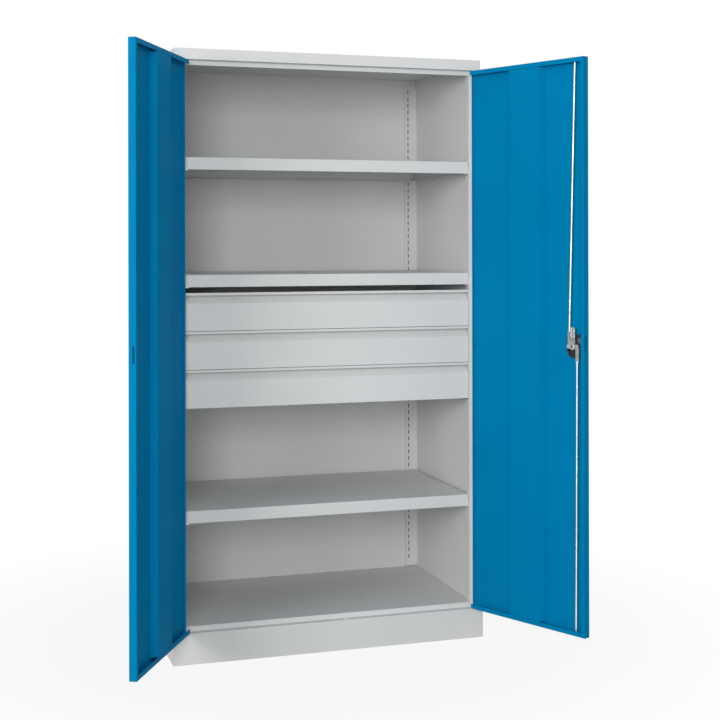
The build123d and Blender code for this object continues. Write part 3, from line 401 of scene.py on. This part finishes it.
# %% Lay the floor
FLOOR_RADIUS = 9.0
FLOOR_CENTRE = 0.02
FLOOR_RINGS, FLOOR_SPOKES = 24, 97
radius, spoke = np.meshgrid(np.linspace(FLOOR_CENTRE, FLOOR_RADIUS, FLOOR_RINGS),
                            np.linspace(0, 2 * np.pi, FLOOR_SPOKES), indexing="ij")
points = np.stack((radius * np.cos(spoke), radius * np.sin(spoke), np.zeros_like(radius)), axis=-1)
corner = np.arange(radius.size).reshape(radius.shape)
quads = np.stack((corner[:-1, :-1], corner[1:, :-1], corner[1:, 1:], corner[:-1, 1:]), axis=-1)
floor_mesh = bpy.data.meshes.new("studio_floor")
floor_mesh.from_pydata(points.reshape(-1, 3).tolist(), [], quads.reshape(-1, 4).tolist())
studio_floor = bpy.data.objects.new("studio_floor", floor_mesh)
bpy.context.scene.collection.objects.link(studio_floor)
print("floor is", FLOOR_RADIUS, "m in radius")


# %% Who sees the background
def seen_by_camera_or_mirror(tree):
    """1 for rays that show the background: from the camera, off a gloss or through glass."""
    path = add(tree, "LightPath").outputs
    seen = path["Is Camera Ray"]
    for other in ("Is Glossy Ray", "Is Transmission Ray"):
        seen = add(tree, "Math", {0: seen, 1: path[other]}, operation="MAXIMUM").outputs[0]
    return seen


# %% Colour the floor
NEAR_EDGE, FAR_EDGE = 0.8, 1.7
NEAR_GLOW = 0.90
floor_paper, tree, place = empty_material("white_studio_paper")
distance = add(tree, "VectorMath", {0: place}, operation="LENGTH").outputs["Value"]
melt = add(tree, "MapRange", {"Value": distance, "From Min": NEAR_EDGE, "From Max": FAR_EDGE,
                              "To Min": NEAR_GLOW, "To Max": 1.0})
share = add(tree, "Math", {0: melt.outputs[0], 1: seen_by_camera_or_mirror(tree)}, operation="MULTIPLY")
paper = add(tree, "BsdfDiffuse", {"Color": linear("#B4B4B4")})
white = add(tree, "Emission", {"Color": (1, 1, 1, 1), "Strength": 1.0})
both = add(tree, "MixShader", {0: share.outputs[0], 1: paper.outputs["BSDF"], 2: white.outputs["Emission"]})
add(tree, "OutputMaterial", {"Surface": both.outputs["Shader"]})
floor_mesh.materials.append(floor_paper)
print("floor glows fully from", FAR_EDGE, "m on")

# %% [markdown]
# ## Light
# The photograph has soft light with hardly a shadow: the fronts and the left faces are bright, and the
# insides of the compartments are only a third darker. Two large soft lamps a little above the cabinet
# give that, one beside the camera and one further to the left, both far off, so that the nearest drawer
# is no brighter than the roof. The rest comes from the world, which is white to look at and about half as
# strong for the surfaces.

# %% Light the sky
SKY_STRENGTH = 0.54
world = bpy.data.worlds.new("white_studio")
bpy.context.scene.world = world
world.use_nodes = True
tree = world.node_tree
tree.nodes.clear()
strength = add(tree, "MapRange", {"Value": seen_by_camera_or_mirror(tree), "To Min": SKY_STRENGTH,
                                  "To Max": 1.0})
sky = add(tree, "Background", {"Color": (1, 1, 1, 1), "Strength": strength.outputs[0]})
add(tree, "OutputWorld", {"Surface": sky.outputs["Background"]})
print("sky strength", SKY_STRENGTH)

# %% Hang the lamps
AIM = np.array((0.0, -0.3, 1.15))


def softbox(name, place, size, watts):
    """A square area light that faces the middle of the cabinet."""
    lamp = bpy.data.lights.new(name, "AREA")
    lamp.size = size
    lamp.energy = watts
    holder = bpy.data.objects.new(name, lamp)
    holder.location = place
    away = np.array(place) - AIM
    turn = np.arctan2(away[0], -away[1])
    tilt = np.arccos(away[2] / np.linalg.norm(away))
    holder.rotation_euler = (tilt, 0, turn)
    bpy.context.scene.collection.objects.link(holder)
    print(name, round(float(np.linalg.norm(away)), 2), "m away")


softbox("camera_softbox", place=(-2.4, -6.9, 2.1), size=2.2, watts=160)
softbox("left_softbox", place=(-5.6, -5.0, 2.3), size=2.2, watts=165)
bpy.context.scene.view_settings.view_transform = "Standard"
